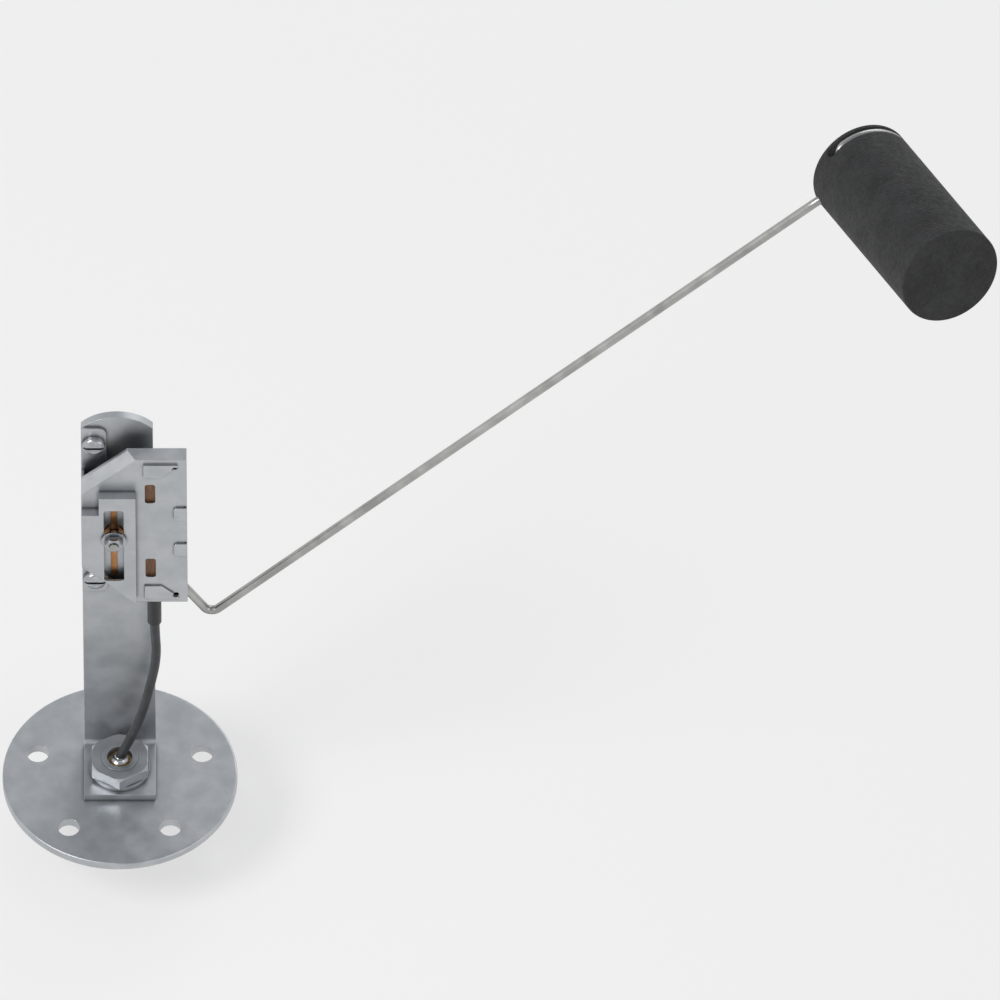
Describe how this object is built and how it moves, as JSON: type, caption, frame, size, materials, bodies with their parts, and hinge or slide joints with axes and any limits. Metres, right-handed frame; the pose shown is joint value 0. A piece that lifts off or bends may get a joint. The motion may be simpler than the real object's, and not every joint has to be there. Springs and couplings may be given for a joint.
{
  "type": "fuel sending unit",
  "caption": "Swing-arm fuel level sender: round flange, angle post, sheet-metal resistor housing, bent wire arm and cylindrical float.",
  "frame": {"origin": "centre of the flange's bolt circle, on the face that goes against the tank", "axes": "+Z from the flange along the post, into the tank; +X towards the arm; +Y from the sender's front to its back"},
  "size_m": [0.3079, 0.0812, 0.3206],
  "materials": {
    "zinc_plate": "bright zinc-plated sheet steel, satin",
    "steel_fastener": "zinc-plated, semi-bright",
    "steel_wire": "drawn stainless wire",
    "brass": "turned brass",
    "spring_bronze": "rolled phosphor bronze strip",
    "white_nylon": "moulded nylon",
    "card_board": "phenolic paper board",
    "track_film": "printed resistor film",
    "black_sleeve": "shrunk plastic sleeve",
    "lead_jacket": "extruded fuel-proof jacket",
    "float_foam": "closed-cell nitrile foam, matte"
  },
  "bodies": {
    "sender_base": {"flange_plate": "zinc_plate", "angle_post": "zinc_plate", "feedthrough_body": "zinc_plate", "feedthrough_washer": "zinc_plate", "feedthrough_nut": "zinc_plate", "feedthrough_insulator": "white_nylon", "terminal_stud": "brass", "terminal_washer": "brass", "terminal_nut": "brass", "sender_bracket": "zinc_plate", "bracket_screws": "steel_fastener", "bracket_nuts": "steel_fastener", "housing_cover": "zinc_plate", "pivot_cover": "zinc_plate", "ground_spring": "spring_bronze", "front_bush": "brass", "rear_bush": "brass", "resistor_card": "card_board", "resistor_track": "track_film", "lead_tab": "brass", "lead_sleeve": "black_sleeve", "lead_cable": "lead_jacket"},
    "swing_arm": {"float_arm": "steel_wire", "float": "float_foam", "wiper_rotor": "white_nylon", "wiper_spring": "spring_bronze", "wiper_contact": "spring_bronze", "pivot_washer": "steel_fastener", "pivot_nut": "steel_fastener"}
  },
  "joints": [
    {"name": "arm_swing", "type": "hinge", "parent": "sender_base", "child": "swing_arm", "pos_m": [-0.0011, 0.0044, 0.1144], "axis": [0, -1, 0], "range_deg": [0, 90]}
  ]
}
